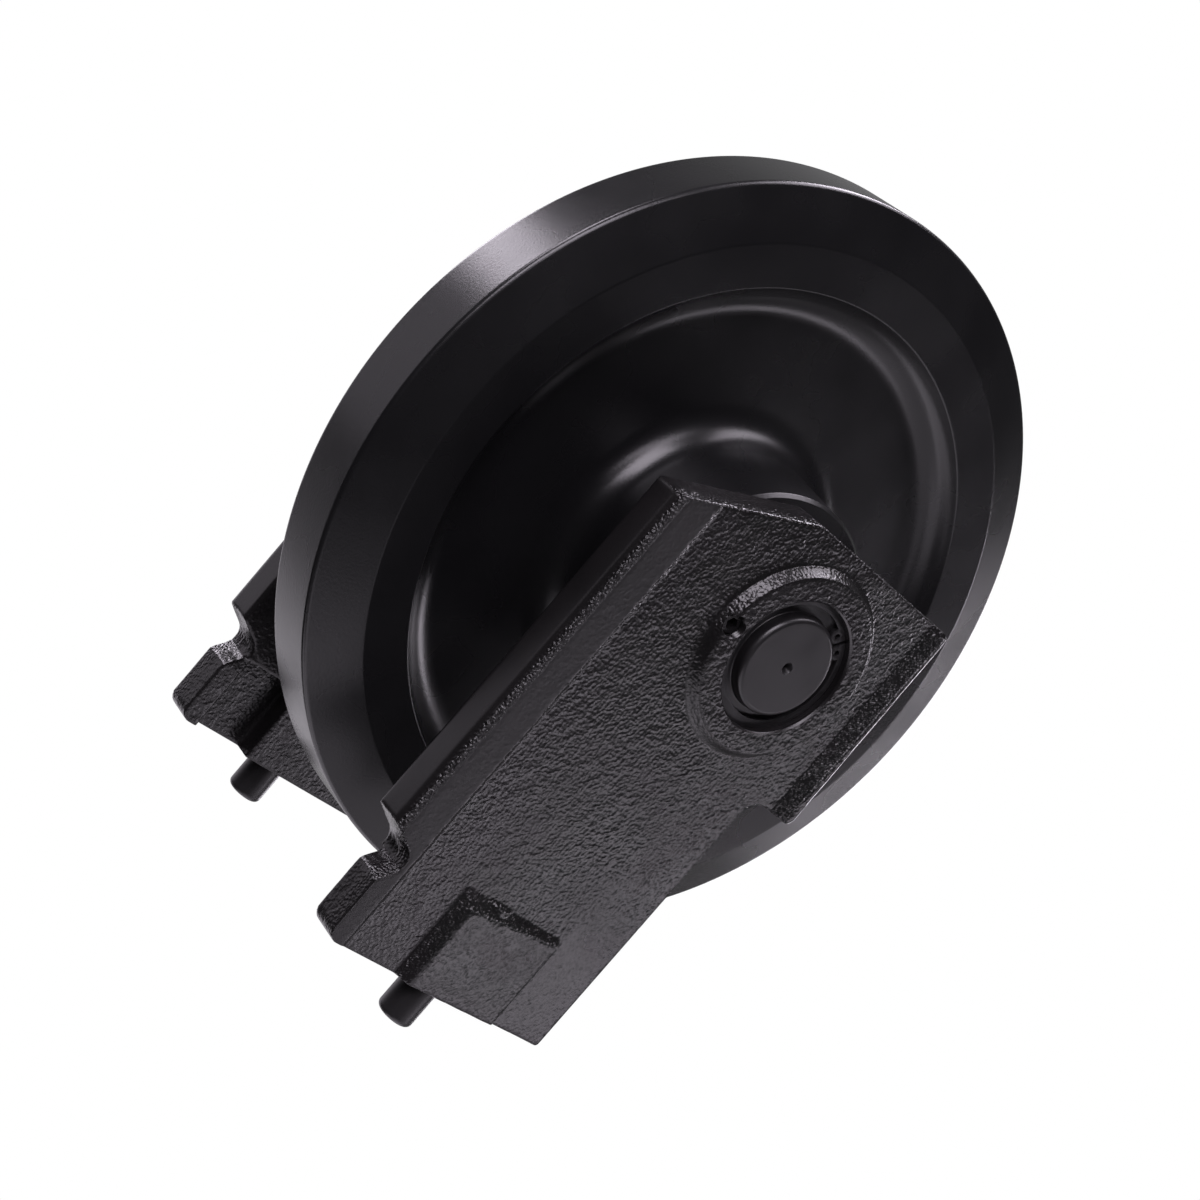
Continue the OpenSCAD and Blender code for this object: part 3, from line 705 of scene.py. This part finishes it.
def circlip(side):
    """A copy of the circlip's solid with its edges broken."""
    mesh = welded_copy("circlip_" + side)
    shape = bmesh.new()
    shape.from_mesh(mesh)
    bmesh.ops.dissolve_limit(shape, angle_limit=math.radians(1), verts=shape.verts, edges=shape.edges)
    rims = [e for e in shape.edges if len(e.link_faces) == 2 and e.calc_face_angle(0) > math.radians(60)]
    bmesh.ops.bevel(shape, geom=rims, offset=EDGE_BREAK * MM, segments=2, profile=0.5, affect="EDGES",
                    clamp_overlap=True)
    shape.to_mesh(mesh)
    shape.free()
    mesh.materials.append(SPRING)
    return place("circlip_ring_" + side, mesh)


for side in SIDES:
    dress(smooth(circlip(side)), "circlip_" + side)


# Pieces inside the hub keep their solids and get the finish of what they are made of

HIDDEN = {"bushing": BRONZE, "rotating_seal_ring": SEAL_STEEL, "fixed_seal_ring": SEAL_STEEL,
          "rotating_toric": RUBBER, "fixed_toric": RUBBER, "shaft_oring": RUBBER}
for stem, material in HIDDEN.items():
    for side in SIDES:
        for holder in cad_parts[f"{stem}_{side}"].material_slots:
            holder.material = material


# Camera at the photograph's viewing angle

VIEW_TURN = Vector((2.1621669, -0.949858, -0.5129937))  # turn from the object's frame to the picture's axes
CAMERA_AT = Vector((0.0388325, -0.7363431, 0.6824603))
to_picture = Matrix.Rotation(VIEW_TURN.length, 3, VIEW_TURN.normalized())
RIGHT, UP, BACK = to_picture[0].copy(), -to_picture[1], -to_picture[2]

camera = bpy.data.cameras.new("camera")
camera.sensor_width = 36.0
camera.lens = 70.298
camera.clip_end = 50.0
eye = bpy.data.objects.new("camera", camera)
eye.matrix_world = Matrix.Translation(CAMERA_AT) @ Matrix((RIGHT, UP, BACK)).transposed().to_4x4()
bpy.context.scene.collection.objects.link(eye)
bpy.context.scene.camera = eye


# Studio: white paper that sweeps under and behind the object, a dark room round the camera, and soft boxes

def bearing(angle, turn):
    """Direction that lies angle away from the line to the camera, turn round it from the picture's right."""
    a, t = math.radians(angle), math.radians(turn)
    return (RIGHT * math.cos(t) + UP * math.sin(t)) * math.sin(a) + BACK * math.cos(a)


def softbox(name, angle, turn, width, height, radiance, spin):
    """An area light on that bearing, turned to the object, its width and height in degrees as the object sees them;
    it shows in reflections but not to the camera."""
    towards = bearing(angle, turn)
    light = bpy.data.lights.new(name, "AREA")
    light.shape = "RECTANGLE"
    light.size = 2 * LAMP_DISTANCE * math.tan(math.radians(width / 2))
    light.size_y = 2 * LAMP_DISTANCE * math.tan(math.radians(height / 2))
    light.energy = radiance * math.pi * light.size * light.size_y
    light.color = LAMP_TINT
    lamp = bpy.data.objects.new(name, light)
    across = UP.cross(towards).normalized()
    turn_to = Matrix((across, towards.cross(across), towards)).transposed().to_4x4()
    spun = Matrix.Rotation(math.radians(spin), 4, "Z")
    lamp.matrix_world = Matrix.Translation(towards * LAMP_DISTANCE) @ turn_to @ spun
    lamp.visible_camera = False
    bpy.context.scene.collection.objects.link(lamp)


LAMP_DISTANCE = 5.0
LAMP_TINT = linear("#fbf3ff")[:3]
# Name, angle, turn, width and height in degrees, radiance, spin in degrees
LAMPS = (
    ("overhead_softbox", 32, 69, 31, 32, 7.9, 10),
    ("overhead_strip", 33, 18, 12, 33, 4.3, -36),
    ("right_softbox", 86, 37, 31, 31, 5.9, -9),
    ("right_rear_softbox", 110, 48, 26, 17, 16, -23),
    ("back_strip", 119, 118, 41, 11, 9.2, 43),
    ("top_strip", 81, 102, 30, 17, 9.5, -45),
    ("low_right_card", 112, 328, 13, 11, 8.8, 2),
    ("low_rear_card", 151, 320, 21, 24, 6.2, 34),
    ("low_front_strip", 95, 310, 22, 8, 3, 55),
    ("front_paper", 107, 292, 44, 27, 0.25, 13),
    ("near_card", 57, 258, 28, 19, 1.1, -21),
    ("left_paper", 99, 239, 62, 49, 1.4, 2),
    ("rear_paper", 137, 179, 31, 62, 0.86, -18),
    ("left_card", 99, 142, 28, 23, 0.67, 39),
    ("near_paper", 81, 280, 45, 52, 0.72, -23),
)
for lamp in LAMPS:
    softbox(*lamp)

PAPER_GLOW = 0.27
ROOM_GLOW = 0.018
world = bpy.data.worlds.new("pale_studio")
world.use_nodes = True
bpy.context.scene.world = world
sky = world.node_tree
sky.nodes.clear()
ray = add(sky, "ShaderNodeTexCoord").outputs["Generated"]
behind = add(sky, "ShaderNodeVectorMath", {1: bearing(180, 0)}, {0: ray}, operation="DOT_PRODUCT")
paper_side = add(sky, "ShaderNodeMapRange", {"From Min": 0.45, "From Max": 0.75},
                 {"Value": behind.outputs["Value"]}, interpolation_type="SMOOTHSTEP").outputs["Result"]
glow = add(sky, "ShaderNodeMapRange", {"To Min": ROOM_GLOW, "To Max": PAPER_GLOW}, {"Value": paper_side})
room = add(sky, "ShaderNodeBackground", {"Color": linear("#ffffff")}, {"Strength": glow.outputs["Result"]})
backdrop = add(sky, "ShaderNodeBackground", {"Color": linear("#ffffff"), "Strength": 1.0})
seen = add(sky, "ShaderNodeLightPath").outputs["Is Camera Ray"]
both = add(sky, "ShaderNodeMixShader",
           links={0: seen, 1: room.outputs["Background"], 2: backdrop.outputs["Background"]})
add(sky, "ShaderNodeOutputWorld", links={"Surface": both.outputs["Shader"]})

floor_mesh = bpy.data.meshes.new("floor")
FLOOR_REACH = 12.0
FLOOR_Z = cad_box[0][2] - 0.5 * MM
corners = [(sx * FLOOR_REACH, sy * FLOOR_REACH, FLOOR_Z) for sx, sy in ((-1, -1), (1, -1), (1, 1), (-1, 1))]
floor_mesh.from_pydata(corners, [], [(0, 1, 2, 3)])
floor = place("floor", floor_mesh)
paper = bpy.data.materials.new("white_paper_floor")
paper.use_nodes = True
paper.node_tree.nodes.clear()
white = add(paper.node_tree, "ShaderNodeEmission", {"Color": linear("#ffffff"), "Strength": 1.0})
add(paper.node_tree, "ShaderNodeOutputMaterial", links={"Surface": white.outputs["Emission"]})
floor_mesh.materials.append(paper)
floor.visible_diffuse = floor.visible_glossy = floor.visible_shadow = False

bpy.context.scene.view_settings.view_transform = "Standard"
